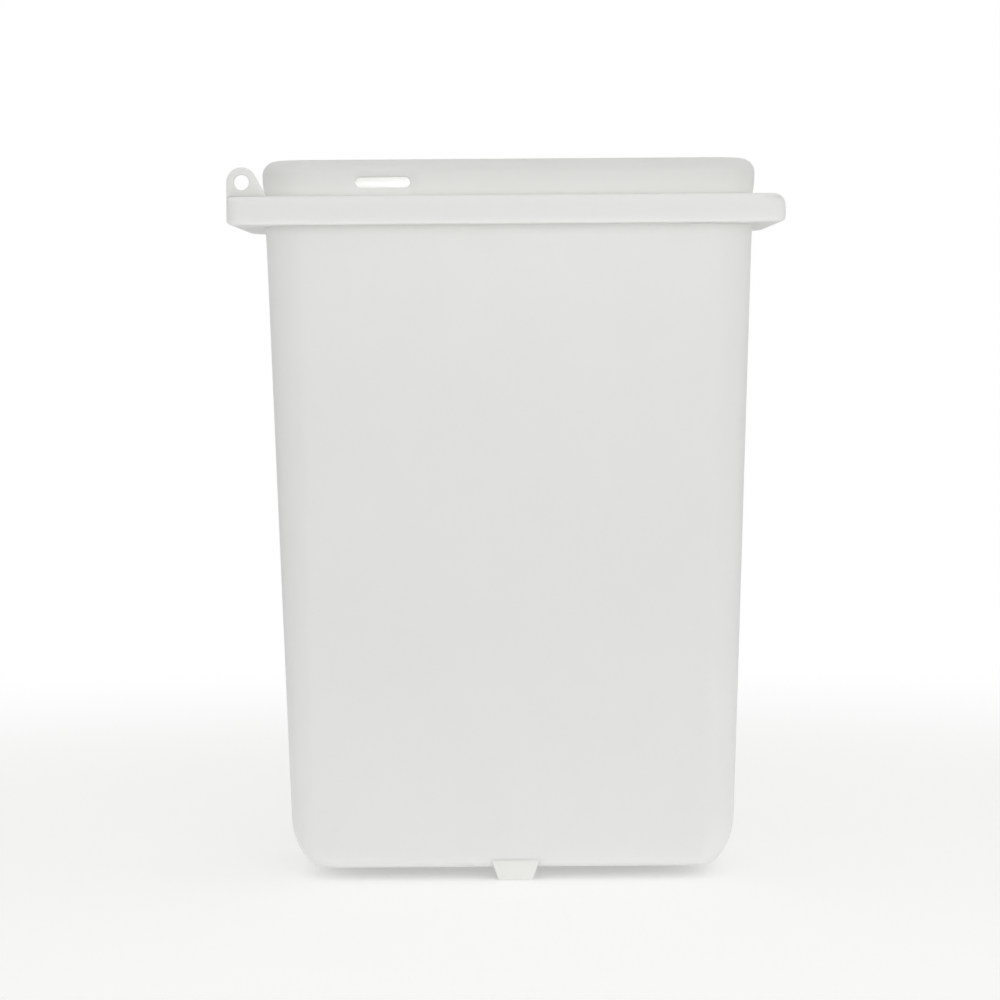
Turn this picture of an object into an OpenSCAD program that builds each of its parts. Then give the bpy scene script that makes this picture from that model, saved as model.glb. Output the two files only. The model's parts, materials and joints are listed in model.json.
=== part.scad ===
// Liner container of a dog waste bin: an open, tapered plastic tub that hangs by a collar.
// Millimetres. X is to the right, the front faces -Y, and Z is up. The origin is at the bottom
// centre of the whole object: on the collar's centre lines, level with the tongue's lowest face.

/* [Tub] */
// Width of the tub at its base, before the bottom edges curve in
base_w = 326.5; // [260:0.5:340]
// Depth of the tub, front to back, at its base
base_d = 183; // [150:1:196]
// Width of the tub where the collar sits
top_w = 360; // [345:1:364]
// Depth of the tub where the collar sits
top_d = 210; // [200:1:214]
// Height from the base to the rim
tub_h = 522; // [300:1:700]
// Wall and floor thickness
wall = 3; // [2:0.5:5]
// Plan radius of the vertical corners at the base
base_corner_r = 20; // [15:1:40]
// Plan radius of the vertical corners at the collar
top_corner_r = 32; // [20:1:50]
// Radius of the side walls' bottom edges
side_edge_r = 50; // [37:0.5:60]
// How high up the side walls those edges start
side_edge_up = 36; // [20:0.5:36]
// Radius of the front and back walls' bottom edges
front_edge_r = 8; // [6:1:12]

/* [Neck and lip] */
// Height of the neck above the collar
neck_h = 27.5; // [22:0.5:50]
// Radius of the lip that turns in over the mouth
lip_r = 10.5; // [8:0.5:14]
// How much of the lip's inner edge is flat, past its turn
lip_flat = 3; // [1:0.5:8]
// How far the neck is drawn in at its root, just above the collar
neck_pinch = 0.7; // [0.3:0.1:1]
// How far the neck stands proud of its root where it is widest
neck_bulge = 1.9; // [1:0.1:4]

/* [Slot] */
// Length of the slot in the front of the neck
slot_l = 40; // [20:1:60]
// Height of the slot
slot_h = 7.5; // [4:0.5:9]
// Distance of the slot's centre to the left of the tub's middle
slot_left = 91.6; // [0:0.1:115]
// Height of the slot's centre above the collar
slot_up = 10.5; // [6:0.5:12]

/* [Collar] */
// Overall width of the collar
collar_w = 404.5; // [398:0.5:440]
// Overall depth of the collar
collar_d = 260; // [255:1:300]
// Height of the collar
collar_h = 20.5; // [12:0.5:40]
// Thickness of the collar's walls
collar_wall = 3; // [2:0.5:5]
// Radius of the collar's outer top edge
collar_edge_r = 3.5; // [1:0.5:5]
// Radius of the collar's outer bottom edge
collar_low_edge_r = 1.5; // [0.5:0.5:5]
// Plan radius of the collar's front corners
collar_front_r = 9.5; // [6:0.5:20]
// Plan radius of the collar's back corners
collar_back_r = 50; // [10:1:60]
// How far the tub's middle lies to the right of the collar's middle
tub_shift = 2; // [0:0.5:5]

/* [Lug] */
// Radius of the hole in the lug
lug_hole_r = 5.5; // [3:0.1:7]
// Radius of the lug's rounded head
lug_r = 10.9; // [10:0.1:14]
// Thickness of the lug's plate
lug_t = 6; // [3:0.5:10]
// Height of the hole's centre above the collar
lug_up = 10.5; // [9:0.5:20]
// Width of the lug at its foot
lug_foot_w = 28.7; // [28:0.1:35]
// How far the lug's face is set back from the collar's front
lug_back = 9.5; // [6:0.5:12]

/* [Tongue] */
// How far the tongue drops below the base
tongue_drop = 9; // [4:0.5:20]
// Width of the tongue's lowest edge
tongue_tip_w = 25; // [10:0.5:40]
// Width of the tongue where it crosses the base
tongue_base_w = 31.6; // [20:0.1:60]
// Thickness of the tongue
tongue_t = 8; // [6:0.5:10]
// Distance of the tongue's middle to the right of the tub's middle
tongue_right = 1.8; // [0:0.1:10]

/* [Hidden] */

// Heights of the base, the rim, the collar's two faces and the neck's widest line
base_z = tongue_drop;
rim_z = base_z + tub_h;
collar_top_z = rim_z - neck_h;
collar_z = collar_top_z - collar_h;
wide_z = rim_z - lip_r;

// Growth of the tub's half width and half depth for each millimetre of height
wall_rise = collar_top_z - base_z;
width_draft = (top_w - base_w) / 2 / wall_rise;
depth_draft = (top_d - base_d) / 2 / wall_rise;

// Radius of the arc that bulges the neck between its root and its widest line
neck_rise = wide_z - collar_top_z;
neck_arc_r = (pow(neck_rise, 2) + pow(neck_bulge, 2)) / 2 / neck_bulge;

// Facets of the tub: steps round each corner, up the bottom edge, up the neck and over the lip
corner_steps = 10;
edge_steps = 8;
neck_steps = 4;
lip_steps = 7;

// Rounded outlines of the collar, slot and lug are true arcs
round_fn = 64;

// How far a cutting shape reaches past the face that it cuts
past = 1;

// Depth of an arc of radius r, rise away from the line it is tangent to
function arc_in(r, rise) = r - sqrt(max(0, pow(r, 2) - pow(rise, 2)));

// Distance that a bottom edge of radius r, which starts at height up, comes in at height h
function edge_in(r, up, h) = arc_in(r, max(0, up - h));

// One closed ring of points at height z: a rectangle with rounded corners
function ring(half_w, half_d, r, z) = [
    for (corner = [0:3], i = [0:corner_steps])
        let (
            a = 90 * (corner + i / corner_steps),
            side = (corner == 0 || corner == 3) ? 1 : -1,
            back = corner < 2 ? 1 : -1
        )
        [side * (half_w - r) + r * cos(a), back * (half_d - r) + r * sin(a), z]
];

// Ring on the tapered walls, skin millimetres inside the outer face
function wall_ring(z, skin) =
    let (
        rise = z - base_z,
        side = edge_in(side_edge_r - skin, side_edge_up, rise),
        front = edge_in(front_edge_r - skin, front_edge_r, rise),
        corner_r = base_corner_r + (top_corner_r - base_corner_r) * rise / wall_rise
    )
    ring(
        base_w / 2 + width_draft * rise - skin - side,
        base_d / 2 + depth_draft * rise - skin - front,
        corner_r - skin, z
    );

// Ring on the neck and lip, brought in from the walls' line at the collar
function neck_ring(z, inward) =
    ring(top_w / 2 - inward, top_d / 2 - inward, top_corner_r - inward, z);
widest_in = neck_pinch - neck_bulge;

// Rings of the whole tub from the floor to the end of the lip's turn
function tub_rings(skin) = [
    for (i = [0:edge_steps])
        wall_ring(base_z + skin + (side_edge_up - skin) * (1 - cos(90 * i / edge_steps)), skin),
    wall_ring(collar_top_z, skin),
    for (i = [0:neck_steps])
        let (rise = neck_rise * i / neck_steps)
        neck_ring(collar_top_z + rise, widest_in + skin + arc_in(neck_arc_r, neck_rise - rise)),
    for (i = [1:lip_steps])
        let (r = lip_r - skin, rise = r * sin(90 * i / lip_steps))
        neck_ring(wide_z + rise, widest_in + skin + arc_in(r, rise))
];

// Rings of the mouth: the flat underside of the lip, then straight up past the rim
function mouth_rings() = [
    for (z = [rim_z - wall, rim_z + past]) neck_ring(z, widest_in + lip_r + lip_flat)
];

// Closed solid through a list of rings that all have the same number of points
module loft(rings) {
    points = len(rings[0]);
    last = len(rings) - 1;
    sides = [
        for (k = [0:last - 1], i = [0:points - 1])
            let (j = (i + 1) % points, low = k * points, high = low + points)
            each [[low + i, high + i, high + j], [low + i, high + j, low + j]]
    ];
    bottom = [for (i = [0:points - 1]) i];
    top = [for (i = [points - 1:-1:0]) last * points + i];
    polyhedron(points = [for (r = rings) each r], faces = concat([bottom, top], sides), convexity = 6);
}

// The tub's outer form, solid up to the rim
module tub_form() {
    translate([tub_shift, 0, 0]) loft(tub_rings(0));
}

// The space inside the tub, open through the mouth
module tub_hollow() {
    translate([tub_shift, 0, 0]) loft(concat(tub_rings(wall), mouth_rings()));
}

// Bar with round ends that cuts the slot through the neck's front wall
module slot_bar() {
    middle = slot_l - slot_h;
    translate([tub_shift - slot_left, -top_d / 2, collar_top_z + slot_up])
        rotate([90, 0, 0])
        linear_extrude(height = 8 * wall, center = true) {
            square([middle, slot_h], center = true);
            for (end = [-1, 1]) translate([end * middle / 2, 0]) circle(d = slot_h, $fn = round_fn);
        }
}

module liner_tub() {
    color([0.91, 0.91, 0.89])
        difference() {
            tub_form();
            tub_hollow();
            slot_bar();
        }
}

// Upright section of a block that ends in a rounded edge, reach millimetres out from x = 0
module edge_section(reach) {
    low_r = collar_low_edge_r;
    top_r = collar_edge_r;
    square([reach - low_r, collar_h - top_r]);
    square([reach - top_r, collar_h]);
    translate([0, low_r]) square([reach, collar_h - low_r - top_r]);
    translate([reach - low_r, low_r]) circle(r = low_r, $fn = round_fn);
    translate([reach - top_r, collar_h - top_r]) circle(r = top_r, $fn = round_fn);
}

// Straight stretch of rounded edge: run long and centred on its own middle, facing the angle turn
module edge_run(run, reach, turn) {
    rotate([0, 0, turn])
        translate([0, run / 2, 0])
        rotate([90, 0, 0])
        linear_extrude(height = run) edge_section(reach);
}

// Quarter turn of rounded edge about a corner's own axis, starting at the angle turn
module edge_corner(reach, turn) {
    rotate([0, 0, turn]) rotate_extrude(angle = 90, $fn = round_fn) edge_section(reach);
}

// Solid block with the collar's outer shape: every outer edge and corner rounded
module collar_block() {
    front_x = collar_w / 2 - collar_front_r;
    front_y = -collar_d / 2 + collar_front_r;
    back_x = collar_w / 2 - collar_back_r;
    back_y = collar_d / 2 - collar_back_r;
    run_y = back_y - front_y;
    translate([0, 0, collar_z]) {
        translate([-back_x, front_y, 0]) cube([2 * back_x, run_y, collar_h]);
        translate([0, front_y, 0]) edge_run(2 * front_x, collar_front_r, 270);
        translate([0, back_y, 0]) edge_run(2 * back_x, collar_back_r, 90);
        for (side = [0, 1]) mirror([side, 0, 0]) {
            translate([back_x, (front_y + back_y) / 2, 0]) edge_run(run_y, collar_back_r, 0);
            translate([front_x, front_y, 0]) edge_corner(collar_front_r, 270);
            translate([back_x, back_y, 0]) edge_corner(collar_back_r, 0);
        }
    }
}

// Flat outline of the collar, drawn in by inset all round
module collar_outline(inset) {
    half_w = collar_w / 2 - inset;
    half_d = collar_d / 2 - inset;
    corners = [[collar_front_r - inset, -1], [collar_back_r - inset, 1]];
    front_r = corners[0][0];
    back_r = corners[1][0];
    translate([-half_w + front_r, -half_d]) square([2 * (half_w - front_r), 2 * half_d - back_r]);
    translate([-half_w, -half_d + front_r]) square([2 * half_w, 2 * half_d - front_r - back_r]);
    translate([-half_w + back_r, 0]) square([2 * (half_w - back_r), half_d]);
    for (side = [-1, 1], c = corners)
        translate([side * (half_w - c[0]), c[1] * (half_d - c[0])]) circle(r = c[0], $fn = round_fn);
}

// Flat outline of the tub where the collar grips it
module grip_outline() {
    half_w = top_w / 2;
    half_d = top_d / 2;
    r = top_corner_r;
    translate([tub_shift, 0]) {
        square([2 * half_w, 2 * (half_d - r)], center = true);
        square([2 * (half_w - r), 2 * half_d], center = true);
        for (x = [-1, 1], y = [-1, 1])
            translate([x * (half_w - r), y * (half_d - r)]) circle(r = r, $fn = round_fn);
    }
}

// Ring of channel section: an outer wall between two flanges, open towards the tub
module collar_frame() {
    color([0.93, 0.93, 0.91])
        difference() {
            collar_block();
            translate([0, 0, collar_z + collar_wall])
                linear_extrude(height = collar_h - 2 * collar_wall) collar_outline(collar_wall);
            translate([0, 0, collar_z - past])
                linear_extrude(height = collar_h + 2 * past) grip_outline();
        }
}

// Front outline of the lug, measured from the collar's left end and top face
module lug_outline() {
    sink = collar_edge_r;
    foot = [lug_foot_w - lug_r, -lug_up];
    reach = norm(foot);
    tangent = atan2(foot[1], foot[0]) + acos(lug_r / reach);
    translate([lug_r, lug_up]) {
        circle(r = lug_r, $fn = round_fn);
        polygon([
            [-lug_r, 0],
            [-lug_r, -lug_up - sink],
            [foot[0], foot[1] - sink],
            foot,
            lug_r * [cos(tangent), sin(tangent)]
        ]);
    }
}

// Plate with a round hole, its foot shaped to the collar's rounded top edge
module tether_lug() {
    face_y = -collar_d / 2 + lug_back;
    color([0.93, 0.93, 0.91])
        difference() {
            translate([-collar_w / 2, face_y + lug_t, collar_top_z])
                rotate([90, 0, 0])
                linear_extrude(height = lug_t) lug_outline();
            collar_block();
            translate([-collar_w / 2 + lug_r, face_y + lug_t + past, collar_top_z + lug_up])
                rotate([90, 0, 0])
                cylinder(r = lug_hole_r, h = lug_t + 2 * past, $fn = round_fn);
        }
}

// Tapered tab flush with the front wall, fitted to the rounded edge of the base above it
module locating_tongue() {
    flare = (tongue_base_w - tongue_tip_w) / 2 / tongue_drop;
    tall = tongue_drop + front_edge_r;
    tip = tongue_tip_w / 2;
    top = tip + flare * tall;
    color([0.94, 0.94, 0.92])
        difference() {
            translate([tub_shift + tongue_right, -base_d / 2 + tongue_t, 0])
                rotate([90, 0, 0])
                linear_extrude(height = tongue_t)
                polygon([[-tip, 0], [tip, 0], [top, tall], [-top, tall]]);
            tub_form();
        }
}

liner_tub();
collar_frame();
tether_lug();
locating_tongue();
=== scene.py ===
"""Looks of a dog waste bin's liner: a milky plastic tub with a collar, a lug and a tongue.

Metres, in the CAD frame: +X to the right, the front faces -Y and +Z is up.
"""

import json
import math

import bpy
from mathutils import Matrix, Vector, noise


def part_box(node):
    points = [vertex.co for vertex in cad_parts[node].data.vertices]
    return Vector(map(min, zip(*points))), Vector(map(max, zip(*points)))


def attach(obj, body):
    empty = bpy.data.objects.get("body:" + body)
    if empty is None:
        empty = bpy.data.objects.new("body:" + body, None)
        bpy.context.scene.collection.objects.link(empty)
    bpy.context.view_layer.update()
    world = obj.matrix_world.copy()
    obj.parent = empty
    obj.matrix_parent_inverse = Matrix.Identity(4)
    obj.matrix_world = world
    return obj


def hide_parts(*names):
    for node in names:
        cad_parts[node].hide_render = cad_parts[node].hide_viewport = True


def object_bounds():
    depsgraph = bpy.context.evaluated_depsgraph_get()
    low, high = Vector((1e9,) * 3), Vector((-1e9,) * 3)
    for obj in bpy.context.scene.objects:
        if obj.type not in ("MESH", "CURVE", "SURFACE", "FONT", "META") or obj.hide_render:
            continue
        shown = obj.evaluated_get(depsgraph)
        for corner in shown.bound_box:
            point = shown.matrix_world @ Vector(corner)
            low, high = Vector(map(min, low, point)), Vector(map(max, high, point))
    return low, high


MM = 0.001
QUARTER = math.pi / 2

# ---- The frame and the sizes taken from it ------------------------------------------------------

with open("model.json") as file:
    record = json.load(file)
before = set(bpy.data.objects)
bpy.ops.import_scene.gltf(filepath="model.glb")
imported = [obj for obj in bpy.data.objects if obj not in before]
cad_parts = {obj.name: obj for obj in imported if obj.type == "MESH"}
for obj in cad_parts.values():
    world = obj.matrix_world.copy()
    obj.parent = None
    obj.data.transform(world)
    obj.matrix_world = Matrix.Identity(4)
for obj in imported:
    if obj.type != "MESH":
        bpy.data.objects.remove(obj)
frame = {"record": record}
cad_low, cad_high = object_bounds()
tub_low, tub_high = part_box("liner_tub")
collar_low, collar_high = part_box("collar_frame")
lug_low, lug_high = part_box("tether_lug")
tongue_low, tongue_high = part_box("locating_tongue")
mounts = {mount["name"]: mount for mount in frame["record"]["mounts"]}

# Tub: its taper, bottom edges, neck and lip, and the slight wave of its walls
WALL = 3 * MM
BASE_HALF_W = 163.25 * MM
BASE_HALF_D = 91.5 * MM
BASE_CORNER_R = 20 * MM
TOP_CORNER_R = 32 * MM
SIDE_EDGE_R = 50 * MM
SIDE_EDGE_UP = 36 * MM
FRONT_EDGE_R = 8 * MM
LIP_R = 10.5 * MM
LIP_FLAT = 3 * MM
NECK_PINCH = 0.7 * MM
NECK_BULGE = 1.9 * MM
WIDEST_IN = NECK_PINCH - NECK_BULGE
MOUTH_EDGE_R = 1.2 * MM
WAVE = 0.15 * MM
WAVE_FADE = 30 * MM

TUB_X = (tub_low.x + tub_high.x) / 2
BASE_Z = tub_low.z
RIM_Z = tub_high.z
WIDE_Z = RIM_Z - LIP_R
TOP_HALF_W = (tub_high.x - tub_low.x) / 2 + WIDEST_IN
TOP_HALF_D = (tub_high.y - tub_low.y) / 2 + WIDEST_IN

# Collar: its edges are rounder at its ends, and a hairline gap parts it from the tub
COLLAR_Z = collar_low.z
COLLAR_TOP_Z = collar_high.z
COLLAR_HALF_W = collar_high.x
COLLAR_HALF_D = collar_high.y
COLLAR_WALL = 3 * MM
COLLAR_EDGE_R = 3.5 * MM
COLLAR_LOW_EDGE_R = 1.5 * MM
COLLAR_END_EDGE_R = 8.5 * MM
COLLAR_LOW_END_EDGE_R = 4 * MM
COLLAR_FRONT_R = 9.5 * MM
COLLAR_BACK_R = 50 * MM
COLLAR_INNER_EDGE = 0.8 * MM
COLLAR_GAP = 0.1 * MM
END_START = 20 * MM
END_EASE = 18 * MM

# Heights of the walls and the neck, and the radius of the neck's outward arc
WALL_RISE = COLLAR_TOP_Z - BASE_Z
NECK_RISE = WIDE_Z - COLLAR_TOP_Z
NECK_ARC_R = (NECK_RISE**2 + NECK_BULGE**2) / 2 / NECK_BULGE

# Painted shade: the neck's colour gets gently darker between these heights
NECK_SHADE_START_Z = COLLAR_TOP_Z + 5 * MM
NECK_SHADE_END_Z = RIM_Z - 7 * MM
NECK_PAINTED_SHADE = 0.9

# Slot: its core is the stretch between its round ends, and the wall dips gently towards it
SLOT_X, _, SLOT_Z = mounts["slot_pass"]["pos_m"]
SLOT_HALF_L = 20 * MM
SLOT_R = 3.75 * MM
SLOT_EDGE_R = 0.9 * MM
SLOT_CORE = SLOT_HALF_L - SLOT_R
SLOT_REACH = SLOT_R + SLOT_EDGE_R
DIP_DEEP = 1.0 * MM
DIP_WIDE = 7 * MM

# Lug: a faint raised ring is round its hole, and its foot is sunk into the collar
LUG_X, LUG_Y, LUG_Z = mounts["lug_bore"]["pos_m"]
LUG_HOLE_R = mounts["lug_bore"]["dims"]["r_mm"] * MM
LUG_R = LUG_X - lug_low.x
LUG_EDGE_R = 1.5 * MM
LUG_HOLE_EDGE_R = 0.8 * MM
LUG_RING_HIGH = 0.25 * MM
LUG_RING_START = 1.0 * MM
LUG_RING_END = 3.2 * MM
LUG_SINK = 0.5 * MM
LUG_HEAD_STEPS = 60
LUG_FOOT_STEPS = 84

# Tongue: it stands a hair proud of the wall, and its back and top sink into the wall
TONGUE_TIP_HALF = 12.5 * MM
TONGUE_PROUD = 0.25 * MM
TONGUE_SINK = 1.2 * MM
TONGUE_TOP_SINK = 0.3 * MM
TONGUE_EDGE_R = 1.1 * MM
TONGUE_TIP_EDGE_R = 0.7 * MM
TONGUE_TOP_EDGE_R = 0.3 * MM

# Floor: half its width, its glow near the object, and its glow on other things further out
FLOOR_HALF = 12.0
FLOOR_TABLE_GLOW = 0.19
FLOOR_GLOW = 0.4

# Camera: its distance from the collar, height over the floor, lens and turns in degrees
CAMERA_DISTANCE = 2.457
CAMERA_HEIGHT = 0.4025
CAMERA_LENS = 122.4
CAMERA_PITCH = -2.78
CAMERA_YAW = 0.18
CAMERA_ROLL = -0.4

# ---- Outlines seen from above -------------------------------------------------------------------

CORNER_STEPS = 14
EDGE_STEPS = 16
SIDES = 4
FRONT = 2
FINE_GAP = 1 * MM


def smooth(t):
    """Ease from 0 to 1 as t goes from 0 to 1."""
    t = min(1, max(0, t))
    return t * t * (3 - 2 * t)


def even(count):
    """Fractions from 0 up to, but not including, 1."""
    return [i / count for i in range(count)]


def growing(start, end, first, most, growth=1.3):
    """Marks from start to end, both included, in gaps that grow from first to most."""
    gaps = []
    gap = first
    while sum(gaps) < abs(end - start):
        gaps.append(gap)
        gap = min(gap * growth, most)
    scale = (end - start) / sum(gaps)
    marks = [start]
    for gap in gaps:
        marks.append(marks[-1] + gap * scale)
    return marks


def front_fractions():
    """Fractions along the front wall's straight stretch, closer together round the slot."""
    half = TOP_HALF_W - TOP_CORNER_R
    slot_u = SLOT_X - TUB_X
    left_end = slot_u - SLOT_CORE - SLOT_REACH
    right_end = slot_u + SLOT_CORE + SLOT_REACH
    marks = growing(left_end, -half, FINE_GAP, 8 * MM)[::-1]
    marks += [left_end + SLOT_REACH * i / 5 for i in range(1, 6)]
    marks += [slot_u - SLOT_CORE + 2 * SLOT_CORE * i / 10 for i in range(1, 11)]
    marks += [slot_u + SLOT_CORE + SLOT_REACH * i / 5 for i in range(1, 6)]
    marks += growing(right_end, half, FINE_GAP, 9 * MM)[1:-1]
    return [(mark + half) / 2 / half for mark in marks]


# Where the back, left, front and right straights are divided
STRAIGHTS = [even(34), even(18), front_fractions(), even(18)]

# A place is a corner's number and how far round its arc, or how far along the straight after it
PLACES = [
    place
    for corner in range(SIDES)
    for place in [(corner, "arc", t) for t in even(CORNER_STEPS)]
    + [(corner, "straight", t) for t in STRAIGHTS[corner]]
]


def arc_point(size, corner, t):
    """Point on a corner of an outline; size is (half width, half depth, front r, back r)."""
    half_w, half_d, front_r, back_r = size
    angle = QUARTER * (corner + t)
    side = 1 if corner in (0, 3) else -1
    back = 1 if corner < 2 else -1
    r = back_r if corner < 2 else front_r
    x = side * (half_w - r) + r * math.cos(angle)
    y = back * (half_d - r) + r * math.sin(angle)
    return Vector((x, y))


def outline(size, centre_x=0.0):
    """Points of a rounded rectangle, one for each place, counterclockwise from the right."""
    points = []
    for corner, stretch, t in PLACES:
        if stretch == "arc":
            point = arc_point(size, corner, t)
        else:
            start = arc_point(size, corner, 1)
            end = arc_point(size, (corner + 1) % SIDES, 0)
            point = start.lerp(end, t)
        points.append(Vector((point.x + centre_x, point.y)))
    return points


def outward(place):
    """Unit vector square to the outline at a place."""
    corner, stretch, t = place
    angle = QUARTER * (corner + (t if stretch == "arc" else 1))
    return Vector((math.cos(angle), math.sin(angle)))


# ---- Mesh helpers -------------------------------------------------------------------------------


def add_mesh(name, points, faces, material, cad_node):
    """A smooth-shaded piece that rides on the frame and stands for a CAD node."""
    mesh = bpy.data.meshes.new(name)
    mesh.from_pydata([tuple(point) for point in points], [], faces)
    mesh.validate()
    mesh.shade_smooth()
    mesh.materials.append(material)
    piece = bpy.data.objects.new(name, mesh)
    bpy.context.scene.collection.objects.link(piece)
    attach(piece, "root")
    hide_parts(cad_node)
    return piece


def strip(low, high):
    """Quads between two closed rows of point numbers of the same length."""
    count = len(low)
    return [(low[i], low[(i + 1) % count], high[(i + 1) % count], high[i]) for i in range(count)]


def turned(faces):
    """The same faces, facing the other way."""
    return [tuple(reversed(face)) for face in faces]


def row_numbers(rows, width):
    """Point numbers of so many rows, all of the same width and one after the other."""
    return [[k * width + i for i in range(width)] for k in range(rows)]


def ring_faces(rows, width):
    """Faces of a closed ring whose section is a closed loop of rows."""
    grid = row_numbers(rows, width)
    faces = []
    for k, row in enumerate(grid):
        faces += turned(strip(row, grid[(k + 1) % rows]))
    return faces


# ---- Tub ----------------------------------------------------------------------------------------


def arc_in(r, rise):
    """How far an arc of radius r has left its tangent line, a distance rise along that line."""
    return r - math.sqrt(max(0, r * r - rise * rise))


def edge_in(r, up, rise):
    """How far a bottom edge of radius r, which starts at height up, comes in at a height."""
    return arc_in(r, max(0, up - rise))


def wall_size(z, skin):
    """Outline of the tapered walls at height z, skin inside their outer face."""
    rise = z - BASE_Z
    side = edge_in(SIDE_EDGE_R - skin, SIDE_EDGE_UP, rise)
    front = edge_in(FRONT_EDGE_R - skin, FRONT_EDGE_R, rise)
    share = rise / WALL_RISE
    half_w = BASE_HALF_W + (TOP_HALF_W - BASE_HALF_W) * share - skin - side
    half_d = BASE_HALF_D + (TOP_HALF_D - BASE_HALF_D) * share - skin - front
    r = BASE_CORNER_R + (TOP_CORNER_R - BASE_CORNER_R) * share - skin
    return half_w, half_d, r, r


def neck_size(inward):
    """Outline of the neck or lip, brought in from the walls' outline at the collar."""
    r = TOP_CORNER_R - inward
    return TOP_HALF_W - inward, TOP_HALF_D - inward, r, r


def neck_in(z, skin):
    """How far the neck or the lip's turn comes in at height z."""
    arc = arc_in(NECK_ARC_R, WIDE_Z - z) if z <= WIDE_Z else arc_in(LIP_R - skin, z - WIDE_Z)
    return WIDEST_IN + skin + arc


def floor_rows(z, skin):
    """Rows across the flat of the floor, from its middle out to the bottom edge."""
    size = wall_size(z, skin)
    return [(tuple(side * share for side in size), z) for share in (0.1, 0.35, 0.6, 0.8, 0.93)]


def wall_rows(skin):
    """Rows up the walls, from the bottom edge to the collar."""
    low = BASE_Z + skin
    up = SIDE_EDGE_UP - skin
    edge = [low + up * (1 - math.cos(QUARTER * i / EDGE_STEPS)) for i in range(EDGE_STEPS + 1)]
    straight = growing(edge[-1], COLLAR_TOP_Z, 4 * MM, 13 * MM)[1:-1]
    return [(wall_size(z, skin), z) for z in edge + straight]


def neck_rows(skin):
    """Rows up the neck and over the lip's turn, closer together beside the slot."""
    low, high = SLOT_Z - SLOT_REACH, SLOT_Z + SLOT_REACH
    heights = [COLLAR_TOP_Z + (low - COLLAR_TOP_Z) * i / 5 for i in range(5)]
    heights += [low + (high - low) * i / 10 for i in range(11)]
    heights.append((high + WIDE_Z) / 2)
    r = LIP_R - skin
    heights += [WIDE_Z + r * math.sin(QUARTER * i / EDGE_STEPS) for i in range(EDGE_STEPS + 1)]
    return [(neck_size(neck_in(z, skin)), z) for z in heights]


def mouth_rows():
    """Rows round the rounded edge of the mouth, from the lip's top to its underside."""
    edge = WIDEST_IN + LIP_R + LIP_FLAT
    upper = RIM_Z - MOUTH_EDGE_R
    lower = RIM_Z - WALL + MOUTH_EDGE_R
    rows = []
    for middle_z, start in ((upper, QUARTER), (lower, 0)):
        for i in range(5):
            a = start - QUARTER * i / 4
            inward = edge - MOUTH_EDGE_R * (1 - math.cos(a))
            rows.append((neck_size(inward), middle_z + MOUTH_EDGE_R * math.sin(a)))
    return rows


def slot_warp(u, v):
    """Moves a point near the slot so that the grid's square hole gets the slot's round ends."""
    past = abs(u) - SLOT_CORE
    if past <= 0:
        return u, v
    ring = max(past, abs(v))
    weight = 1 - smooth(ring / SLOT_REACH - 1)
    if weight <= 0:
        return u, v
    run = past if abs(v) >= past else 2 * ring - abs(v)
    angle = QUARTER / 2 * run / ring
    round_u = math.copysign(SLOT_CORE + ring * math.sin(angle), u)
    round_v = math.copysign(ring * math.cos(angle), v)
    return u + (round_u - u) * weight, v + (round_v - v) * weight


def slot_distance(u, v):
    """Distance from the slot's own edge, negative inside it."""
    return math.hypot(max(0, abs(u) - SLOT_CORE), v) - SLOT_R


def dip(u, v):
    """Depth of the gentle dip round the slot."""
    return DIP_DEEP * (1 - smooth((slot_distance(u, v) - SLOT_EDGE_R) / DIP_WIDE))


def front_point(u, v, skin):
    """Point on the front of the neck at slot coordinates u and v."""
    z = SLOT_Z + v
    return Vector((SLOT_X + u, neck_in(z, skin) - TOP_HALF_D + dip(u, v), z))


def wave(point, inner):
    """Very slight unevenness of the walls' outer face, always inwards; the inner face has none."""
    swell = noise.noise(point * 9) * 0.7 + noise.noise(point * 26) * 0.3
    fade = smooth((COLLAR_Z - point.z) / WAVE_FADE) * smooth((point.z - BASE_Z) / WAVE_FADE)
    return WAVE * (swell - 1) * fade * (0 if inner else 1)


def tub_row(row, skin, on_neck):
    """Points of one row of the tub, warped beside the slot if the row is on the neck."""
    size, z = row
    points = []
    for place, flat in zip(PLACES, outline(size, TUB_X)):
        point = Vector((flat.x, flat.y, z))
        if on_neck and place[0] == FRONT and place[1] == "straight":
            u, v = slot_warp(point.x - SLOT_X, z - SLOT_Z)
            point = front_point(u, v, skin)
        side = outward(place)
        shift = wave(point, skin > 0)
        points.append(point + Vector((side.x, side.y, 0)) * shift)
    return points


def slot_rows(border):
    """Rows of points through the wall, from the outer skin's slot border to the inner one's."""
    steps = [i / 4 for i in range(1, 5)]
    rows = []
    for skin, direction, turns in ((0, 1, steps), (WALL, -1, steps[::-1])):
        for t in turns:
            a = QUARTER * t
            reach = SLOT_R + SLOT_EDGE_R * (1 - math.sin(a))
            deep = SLOT_EDGE_R * (1 - math.cos(a)) * direction
            row = []
            for point in border:
                u, v = point.x - SLOT_X, point.z - SLOT_Z
                core = max(-SLOT_CORE, min(SLOT_CORE, u))
                away = Vector((u - core, v)).normalized() * reach
                base = front_point(core + away.x, away.y, skin)
                row.append(base + Vector((0, deep, 0)))
            rows.append(row)
    return rows


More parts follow.
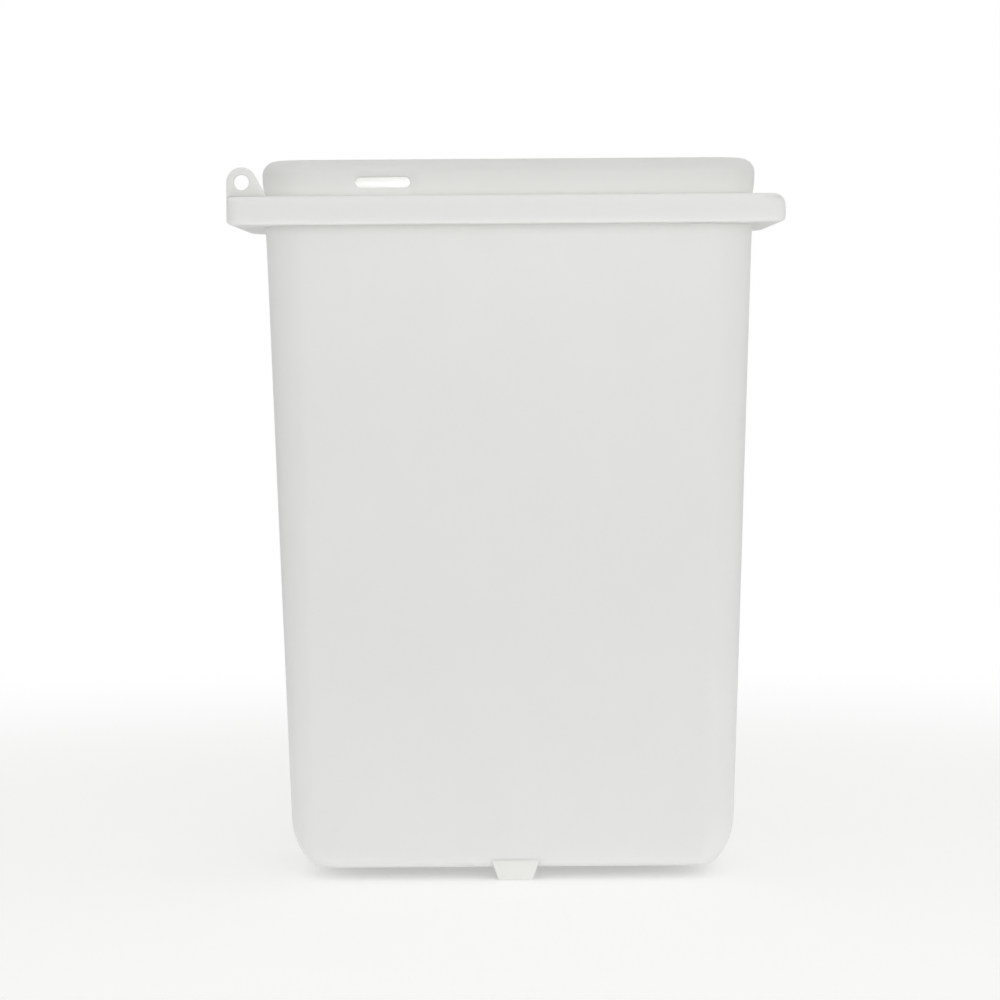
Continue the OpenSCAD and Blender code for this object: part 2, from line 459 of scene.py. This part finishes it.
def make_tub(material):
    """The tub: outer skin, lip, mouth, inner skin and floor in one closed mesh with its slot."""
    outer = [(row, 0, False) for row in floor_rows(BASE_Z, 0) + wall_rows(0)]
    outer += [(row, 0, True) for row in neck_rows(0)]
    turn = [(row, 0, False) for row in mouth_rows()]
    inner = [(row, WALL, False) for row in floor_rows(BASE_Z + WALL, WALL) + wall_rows(WALL)]
    inner += [(row, WALL, True) for row in neck_rows(WALL)]
    rows = outer + turn + inner[::-1]
    points = [point for row in rows for point in tub_row(*row)]
    grid = row_numbers(len(rows), len(PLACES))

    # The columns of the grid that bound the slot, and its rows on the outer and the inner skin
    fronts = [i for i, place in enumerate(PLACES) if place[:2] == (FRONT, "straight")]
    flat = outline(neck_size(0), TUB_X)
    reach_u = SLOT_CORE + SLOT_REACH + 0.01 * MM
    reach_v = SLOT_REACH + 0.01 * MM
    columns = [i for i in fronts if abs(flat[i].x - SLOT_X) < reach_u]
    levels = [k for k, row in enumerate(rows) if row[2] and abs(row[0][1] - SLOT_Z) < reach_v]
    half = len(levels) // 2
    bands = (levels[:half], levels[half:])

    # The faces of both skins, apart from the square hole that the slot is warped from
    faces = [tuple(reversed(grid[0])), tuple(grid[-1])]
    for k in range(len(rows) - 1):
        cut = any(band[0] <= k < band[-1] for band in bands)
        for i, quad in enumerate(strip(grid[k], grid[k + 1])):
            if not (cut and columns[0] <= i < columns[-1]):
                faces.append(quad)

    # The hole's border in each skin, and the rounded walls between the two borders
    borders = []
    for band in (bands[0], bands[1][::-1]):
        border = [grid[band[0]][i] for i in columns[:-1]]
        border += [grid[k][columns[-1]] for k in band[:-1]]
        border += [grid[band[-1]][i] for i in columns[:0:-1]]
        border += [grid[k][columns[0]] for k in band[:0:-1]]
        borders.append(border)
    walls = [borders[0]]
    for row in slot_rows([points[i] for i in borders[0]]):
        walls.append(list(range(len(points), len(points) + len(row))))
        points += row
    walls.append(borders[1])
    for low, high in zip(walls, walls[1:]):
        faces += strip(low, high)
    return add_mesh("tub", points, faces, material, "liner_tub")


# ---- Collar -------------------------------------------------------------------------------------


def end_share(x):
    """1 at the collar's end, where its edges are rounder, easing to 0 further in."""
    return smooth((x - COLLAR_HALF_W + END_START) / END_EASE)


def collar_row(inset, z):
    """Row of the collar's outer shape, drawn in by inset."""
    size = (
        COLLAR_HALF_W - inset,
        COLLAR_HALF_D - inset,
        max(COLLAR_FRONT_R - inset, 0.5 * MM),
        COLLAR_BACK_R - inset,
    )
    return [Vector((flat.x, flat.y, z)) for flat in outline(size)]


def collar_edge_row(turn, face_z, direction):
    """Row on the rounded top or bottom edge; turn is 0 at the flat face and 1 at the outer one."""
    a = QUARTER * turn
    points = []
    size = (COLLAR_HALF_W, COLLAR_HALF_D, COLLAR_FRONT_R, COLLAR_BACK_R)
    for place, flat in zip(PLACES, outline(size)):
        if direction > 0:
            r, end_r, share = COLLAR_EDGE_R, COLLAR_END_EDGE_R, end_share(flat.x)
        else:
            r, end_r, share = COLLAR_LOW_EDGE_R, COLLAR_LOW_END_EDGE_R, end_share(abs(flat.x))
        r += (end_r - r) * share
        inward = r * (1 - math.sin(a))
        point = flat - outward(place) * inward
        points.append(Vector((point.x, point.y, face_z - direction * r * (1 - math.cos(a)))))
    return points


def grip_row(gap, z):
    """Row that follows the tub's outer face at height z, gap away from it."""
    half_w, half_d, r, _ = wall_size(min(z, COLLAR_TOP_Z), 0)
    size = (half_w + gap, half_d + gap, r + gap, r + gap)
    return [Vector((flat.x, flat.y, z)) for flat in outline(size, TUB_X)]


def make_collar(material):
    """The collar: a closed ring of channel section with rounded outer edges."""
    top, low = COLLAR_TOP_Z, COLLAR_Z
    edge, gap = COLLAR_INNER_EDGE, COLLAR_GAP
    edge_gap = 0.35 * MM
    turns = [i / 6 for i in range(7)]
    rows = [grip_row(gap, top - edge), grip_row(edge_gap, top - 0.3 * edge), grip_row(edge, top)]
    rows += [collar_edge_row(t, top, 1) for t in turns]
    rows += [collar_edge_row(t, low, -1) for t in turns[::-1]]
    rows += [grip_row(edge, low), grip_row(edge_gap, low + 0.3 * edge), grip_row(gap, low + edge)]
    rows += [grip_row(gap, low + COLLAR_WALL), collar_row(COLLAR_WALL, low + COLLAR_WALL)]
    rows += [collar_row(COLLAR_WALL, top - COLLAR_WALL), grip_row(gap, top - COLLAR_WALL)]
    points = [point for row in rows for point in row]
    faces = ring_faces(len(rows), len(PLACES))
    return add_mesh("collar", points, faces, material, "collar_frame")


# ---- Lug ----------------------------------------------------------------------------------------


def lug_corners():
    """Outline of the lug from its centre, apart from the round head: (x, z) points."""
    foot_z = COLLAR_TOP_Z - LUG_Z
    foot_x = lug_high.x - LUG_X
    reach = math.hypot(foot_x, foot_z)
    tangent = math.atan2(foot_z, foot_x) + math.acos(LUG_R / reach)
    head = Vector((LUG_R * math.cos(tangent), LUG_R * math.sin(tangent)))
    foot = Vector((foot_x, foot_z))
    slope = (head - foot).normalized()
    flare_w = 0.9 * MM
    flare = [
        foot + slope * 4 * MM,
        foot + slope * 1.4 * MM + Vector((0.25 * MM, 0)),
        foot + Vector((flare_w, 0)),
    ]
    sunk = foot_z - LUG_SINK
    bottom = [
        Vector((foot_x + flare_w, sunk)),
        Vector((-LUG_R + 4 * MM, sunk)),
        Vector((-LUG_R, foot_z - 3.3 * MM)),
    ]
    return [head] + flare + bottom + [Vector((-LUG_R, 0))], tangent


def ray_reach(direction, corners):
    """How far a ray from the origin goes before it crosses a chain of points."""
    best = None
    for a, b in zip(corners, corners[1:]):
        side = b - a
        cross = direction.x * side.y - direction.y * side.x
        if abs(cross) < 1e-12:
            continue
        reach = (a.x * side.y - a.y * side.x) / cross
        along = (a.x * direction.y - a.y * direction.x) / cross
        if reach > 0 and -1e-6 <= along <= 1 + 1e-6:
            best = reach if best is None else min(best, reach)
    return best


def lug_outline():
    """Outline of the lug as distances from its hole's centre, with their angles."""
    corners, tangent = lug_corners()
    head, foot = LUG_HEAD_STEPS, LUG_FOOT_STEPS
    turns = [tangent + (math.pi - tangent) * i / head for i in range(head)]
    turns += [math.pi + (math.pi + tangent) * i / foot for i in range(foot)]
    for corner in corners[1:-1]:
        angle = math.atan2(corner.y, corner.x)
        while angle < math.pi:
            angle += 2 * math.pi
        nearest = min(range(head, len(turns)), key=lambda k: abs(turns[k] - angle))
        turns[nearest] = angle
    reaches = []
    for k, angle in enumerate(turns):
        direction = Vector((math.cos(angle), math.sin(angle)))
        reaches.append(LUG_R if k <= head else ray_reach(direction, corners))
    return turns, reaches


def make_lug(material):
    """The lug: a plate with rounded edges, a rounded hole and a faint raised ring round it."""
    turns, reaches = lug_outline()
    half = (lug_high.y - lug_low.y) / 2
    ring_start = LUG_HOLE_R + LUG_RING_START
    ring_end = LUG_HOLE_R + LUG_RING_END
    face = half - LUG_RING_HIGH
    profile = []
    for i in range(5):
        a = QUARTER * i / 4
        r = LUG_HOLE_R + LUG_HOLE_EDGE_R * (1 - math.cos(a))
        profile.append(("hole", r, half - LUG_HOLE_EDGE_R * (1 - math.sin(a))))
    for i in range(1, 8):
        r = ring_start + (ring_end - ring_start) * i / 7
        profile.append(("hole", r, half - LUG_RING_HIGH * smooth(i / 7)))
    for i in range(7):
        a = QUARTER * i / 6
        profile.append(("rim", LUG_EDGE_R * (1 - math.sin(a)), face - LUG_EDGE_R * (1 - math.cos(a))))
    sides = [(kind, r, -deep) for kind, r, deep in profile] + profile[::-1]
    points = []
    for kind, r, deep in sides:
        for angle, reach in zip(turns, reaches):
            away = r if kind == "hole" else reach - r
            x = LUG_X + away * math.cos(angle)
            z = LUG_Z + away * math.sin(angle)
            points.append(Vector((x, LUG_Y + deep, z)))
    faces = ring_faces(len(sides), len(turns))
    return add_mesh("lug", points, faces, material, "tether_lug")


# ---- Tongue -------------------------------------------------------------------------------------


def tongue_section(z):
    """Left, right, front and back of the tongue at height z; its back sinks into the tub's wall."""
    middle = (tongue_low.x + tongue_high.x) / 2
    flare = ((tongue_high.x - tongue_low.x) / 2 - TONGUE_TIP_HALF) / (tongue_high.z - tongue_low.z)
    half = TONGUE_TIP_HALF + flare * (z - tongue_low.z)
    front = tongue_low.y - TONGUE_PROUD
    back = tongue_high.y
    if z > BASE_Z:
        front += (TONGUE_PROUD + TONGUE_TOP_SINK) * smooth((z - BASE_Z) / (tongue_high.z - BASE_Z))
        back = min(back, TONGUE_SINK - wall_size(z, 0)[1])
    return middle - half, middle + half, front, back


def tongue_loop(z, inset):
    """Closed row of points round the tongue at height z, with rounded upright edges."""
    left, right, front, back = tongue_section(z)
    left, right, front, back = left + inset, right - inset, front + inset, back - inset
    r = max(min(TONGUE_EDGE_R - inset, 0.45 * (back - front)), 0.1 * MM)
    centres = [
        (right - r, back - r),
        (left + r, back - r),
        (left + r, front + r),
        (right - r, front + r),
    ]
    loop = []
    for corner, (x, y) in enumerate(centres):
        for i in range(5):
            a = QUARTER * (corner + i / 4)
            loop.append(Vector((x + r * math.cos(a), y + r * math.sin(a), z)))
    return loop


def tongue_end(z, r, direction):
    """Rows round a rounded end of the tongue at height z, starting from its flat face."""
    rows = []
    for i in range(4, -1, -1):
        a = QUARTER * i / 4
        rows.append(tongue_loop(z + direction * r * (1 - math.sin(a)), r * (1 - math.cos(a))))
    return rows


def make_tongue(material):
    """The tongue: a tapered tab with crisp, slightly rounded edges."""
    low, high = tongue_low.z, tongue_high.z
    rows = tongue_end(low, TONGUE_TIP_EDGE_R, 1)
    heights = [low + (BASE_Z - low) * i / 4 for i in range(1, 5)]
    heights += [BASE_Z + (high - TONGUE_TOP_EDGE_R - BASE_Z) * i / 10 for i in range(1, 11)]
    rows += [tongue_loop(z, 0) for z in heights]
    rows += tongue_end(high, TONGUE_TOP_EDGE_R, -1)[::-1][1:]
    points = [point for row in rows for point in row]
    grid = row_numbers(len(rows), len(rows[0]))
    faces = [tuple(reversed(grid[0])), tuple(grid[-1])]
    for low_row, high_row in zip(grid, grid[1:]):
        faces += strip(low_row, high_row)
    return add_mesh("tongue", points, faces, material, "locating_tongue")


# ---- Materials ----------------------------------------------------------------------------------


def node(tree, kind, **inputs):
    """A shader node with its inputs set by name, spaces written as underscores."""
    made = tree.nodes.new(kind)
    for name, value in inputs.items():
        made.inputs[name.replace("_", " ")].default_value = value
    return made


def painted_neck_shade(tree, place, colour):
    """Painted shade: darkens a colour gently towards the rim, standing in for the shade on the top of
    the neck.
    """
    split = node(tree, "ShaderNodeSeparateXYZ")
    tree.links.new(place.outputs["Object"], split.inputs["Vector"])
    height = node(tree, "ShaderNodeMapRange", From_Min=NECK_SHADE_START_Z, From_Max=NECK_SHADE_END_Z)
    height.inputs["To Min"].default_value = 1.0
    height.inputs["To Max"].default_value = NECK_PAINTED_SHADE
    tree.links.new(split.outputs["Z"], height.inputs["Value"])
    dim = node(tree, "ShaderNodeVectorMath")
    dim.operation = "SCALE"
    tree.links.new(colour, dim.inputs[0])
    tree.links.new(height.outputs["Result"], dim.inputs["Scale"])
    return dim.outputs["Vector"]


def cloudy_colour(tree, place, pale, deep):
    """Colour that drifts in wide soft clouds from deep to pale."""
    cloud = node(tree, "ShaderNodeTexNoise", Scale=7.0, Detail=3.0, Roughness=0.55)
    tree.links.new(place.outputs["Object"], cloud.inputs["Vector"])
    tint = node(tree, "ShaderNodeValToRGB")
    tint.color_ramp.elements[0].position = 0.3
    tint.color_ramp.elements[0].color = (*deep, 1)
    tint.color_ramp.elements[1].position = 0.7
    tint.color_ramp.elements[1].color = (*pale, 1)
    tree.links.new(cloud.outputs["Fac"], tint.inputs["Fac"])
    return tint.outputs["Color"]


def scuffed_roughness(tree, place):
    """Satin roughness with faint upright scuff streaks."""
    streak_space = node(tree, "ShaderNodeMapping", Scale=(260, 260, 18))
    tree.links.new(place.outputs["Object"], streak_space.inputs["Vector"])
    streak = node(tree, "ShaderNodeTexNoise", Scale=1.0, Detail=4.0, Roughness=0.6)
    tree.links.new(streak_space.outputs["Vector"], streak.inputs["Vector"])
    rough = node(tree, "ShaderNodeMapRange", From_Min=0.3, From_Max=0.7, To_Min=0.36, To_Max=0.46)
    tree.links.new(streak.outputs["Fac"], rough.inputs["Value"])
    return rough.outputs["Result"]


def moulded_normal(tree, place):
    """Fine grain of the mould over a broad, faint swell."""
    grain = node(tree, "ShaderNodeTexNoise", Scale=900.0, Detail=2.0, Roughness=0.5)
    tree.links.new(place.outputs["Object"], grain.inputs["Vector"])
    swell = node(tree, "ShaderNodeTexNoise", Scale=38.0, Detail=2.0, Roughness=0.5)
    tree.links.new(place.outputs["Object"], swell.inputs["Vector"])
    fine = node(tree, "ShaderNodeBump", Strength=0.12, Distance=0.0002)
    tree.links.new(grain.outputs["Fac"], fine.inputs["Height"])
    broad = node(tree, "ShaderNodeBump", Strength=0.10, Distance=0.002)
    tree.links.new(swell.outputs["Fac"], broad.inputs["Height"])
    tree.links.new(fine.outputs["Normal"], broad.inputs["Normal"])
    return broad.outputs["Normal"]


def milky_plastic(name, pale, deep, cloudy=0.75, neck=False):
    """Milky polyethylene, satin on top; cloudy is how much light goes into its depth."""
    material = bpy.data.materials.new(name)
    material.use_nodes = True
    tree = material.node_tree
    shader = tree.nodes["Principled BSDF"]
    place = node(tree, "ShaderNodeTexCoord")
    colour = cloudy_colour(tree, place, pale, deep)
    # Painted shade: the tub's neck is darkened towards the rim
    if neck:
        colour = painted_neck_shade(tree, place, colour)
    tree.links.new(colour, shader.inputs["Base Color"])
    tree.links.new(scuffed_roughness(tree, place), shader.inputs["Roughness"])
    tree.links.new(moulded_normal(tree, place), shader.inputs["Normal"])
    shader.inputs["Subsurface Weight"].default_value = cloudy
    shader.inputs["Subsurface Radius"].default_value = (1.0, 1.0, 0.95)
    shader.inputs["Subsurface Scale"].default_value = 0.009
    shader.inputs["IOR"].default_value = 1.5
    shader.inputs["Specular IOR Level"].default_value = 0.4
    return material


def tub_plastic():
    """The tub's plastic, the only one with painted shade on its neck."""
    pale, deep = (0.86, 0.867, 0.847), (0.84, 0.847, 0.823)
    return milky_plastic("tub_polyethylene", pale, deep, neck=True)


def collar_plastic():
    """The collar's plastic, paler and less cloudy than the tub's."""
    pale, deep = (0.95, 0.955, 0.925), (0.935, 0.94, 0.905)
    return milky_plastic("collar_polyethylene", pale, deep, cloudy=0.5)


def lug_plastic():
    """The lug's plastic, a little darker than the tub's."""
    pale, deep = (0.785, 0.79, 0.77), (0.77, 0.775, 0.75)
    return milky_plastic("lug_polyethylene", pale, deep)


def tongue_plastic():
    """The tongue's plastic, nearly opaque, so that it stays light where it meets the wall."""
    pale, deep = (0.80, 0.805, 0.785), (0.785, 0.79, 0.77)
    return milky_plastic("tongue_polyethylene", pale, deep, cloudy=0.1)


def floor_material():
    """Matt white floor near the object that turns into plain white light further out."""
    material = bpy.data.materials.new("floor_white")
    material.use_nodes = True
    tree = material.node_tree
    link = tree.links.new
    shader = tree.nodes["Principled BSDF"]
    shader.inputs["Base Color"].default_value = (0.93, 0.93, 0.93, 1)
    shader.inputs["Roughness"].default_value = 0.9
    shader.inputs["Specular IOR Level"].default_value = 0.1
    shader.inputs["Emission Color"].default_value = (1, 1, 1, 1)
    shader.inputs["Emission Strength"].default_value = FLOOR_TABLE_GLOW
    place = node(tree, "ShaderNodeTexCoord")
    away = node(tree, "ShaderNodeVectorMath")
    away.operation = "LENGTH"
    link(place.outputs["Object"], away.inputs[0])
    fade = node(tree, "ShaderNodeMapRange", From_Min=0.5, From_Max=1.6, To_Min=0.0, To_Max=1.0)
    fade.interpolation_type = "SMOOTHSTEP"
    link(away.outputs["Value"], fade.inputs["Value"])
    path = node(tree, "ShaderNodeLightPath")
    strength = node(tree, "ShaderNodeMapRange", To_Min=FLOOR_GLOW, To_Max=1.0)
    link(path.outputs["Is Camera Ray"], strength.inputs["Value"])
    glow = node(tree, "ShaderNodeEmission")
    link(strength.outputs["Result"], glow.inputs["Strength"])
    mix = node(tree, "ShaderNodeMixShader")
    link(fade.outputs["Result"], mix.inputs["Fac"])
    link(shader.outputs["BSDF"], mix.inputs[1])
    link(glow.outputs["Emission"], mix.inputs[2])
    link(mix.outputs["Shader"], tree.nodes["Material Output"].inputs["Surface"])
    return material


# ---- Floor, light and camera --------------------------------------------------------------------


def make_floor():
    """A wide pale floor, level with the tongue's lowest edge."""
    half = FLOOR_HALF
    corners = [(-half, -half, 0), (half, -half, 0), (half, half, 0), (-half, half, 0)]
    mesh = bpy.data.meshes.new("floor")
    mesh.from_pydata(corners, [], [(0, 1, 2, 3)])
    mesh.materials.append(floor_material())
    floor = bpy.data.objects.new("floor", mesh)
    bpy.context.scene.collection.objects.link(floor)
    floor.location.z = cad_low.z


def make_world():
    """Soft ambient light, with plain white behind the object."""
    world = bpy.data.worlds.new("studio")
    bpy.context.scene.world = world
    world.use_nodes = True
    tree = world.node_tree
    link = tree.links.new
    ambient = tree.nodes["Background"]
    ambient.inputs["Color"].default_value = (1, 1, 0.985, 1)
    ambient.inputs["Strength"].default_value = 0.74
    white = node(tree, "ShaderNodeBackground", Color=(1, 1, 1, 1), Strength=1.0)
    path = node(tree, "ShaderNodeLightPath")
    mix = node(tree, "ShaderNodeMixShader")
    link(path.outputs["Is Camera Ray"], mix.inputs["Fac"])
    link(ambient.outputs["Background"], mix.inputs[1])
    link(white.outputs["Background"], mix.inputs[2])
    link(mix.outputs["Shader"], tree.nodes["World Output"].inputs["Surface"])


def soft_light(name, place, target, size, watts, spread=180):
    """A softbox at a place, aimed at a target, with its spread in degrees; cameras don't see it."""
    light = bpy.data.lights.new(name, "AREA")
    light.shape = "RECTANGLE"
    light.size, light.size_y = size
    light.energy = watts
    light.spread = math.radians(spread)
    lamp = bpy.data.objects.new(name, light)
    lamp.visible_camera = False
    lamp.location = place
    lamp.rotation_euler = (Vector(target) - Vector(place)).to_track_quat("-Z", "Y").to_euler()
    bpy.context.scene.collection.objects.link(lamp)


def make_lights():
    """A large softbox by the camera, a weak one at the right, and a strip inside the neck.

    The strip lights the patch of the back wall that shows through the slot.
    """
    middle = (cad_low + cad_high) / 2
    soft_light("front_softbox", (0.5, -3.0, 0.25), middle, size=(2.2, 2.2), watts=31)
    soft_light("right_softbox", (2.6, -0.8, 0.5), middle, size=(1.8, 1.8), watts=2.3)
    inside = (TUB_X, -0.05, COLLAR_TOP_Z - 0.06)
    patch = (TUB_X, tub_high.y, RIM_Z - 0.01)
    soft_light("neck_strip", inside, patch, size=(0.3, 0.03), watts=0.06, spread=50)


def make_camera():
    """Eye-level camera in front of the collar, tipped down slightly."""
    data = bpy.data.cameras.new("camera")
    data.sensor_width = 36
    data.lens = CAMERA_LENS
    camera = bpy.data.objects.new("camera", data)
    spot = Vector((TUB_X, collar_low.y - CAMERA_DISTANCE, cad_low.z + CAMERA_HEIGHT))
    yaw = Matrix.Rotation(math.radians(CAMERA_YAW), 4, "Z")
    pitch = Matrix.Rotation(QUARTER + math.radians(CAMERA_PITCH), 4, "X")
    roll = Matrix.Rotation(math.radians(CAMERA_ROLL), 4, "Z")
    camera.matrix_world = Matrix.Translation(spot) @ yaw @ pitch @ roll
    bpy.context.scene.collection.objects.link(camera)
    bpy.context.scene.camera = camera


# ---- The scene ----------------------------------------------------------------------------------

bpy.context.scene.view_settings.view_transform = "Standard"
make_camera()
make_world()
make_lights()
make_floor()
make_tub(tub_plastic())
make_collar(collar_plastic())
make_lug(lug_plastic())
make_tongue(tongue_plastic())
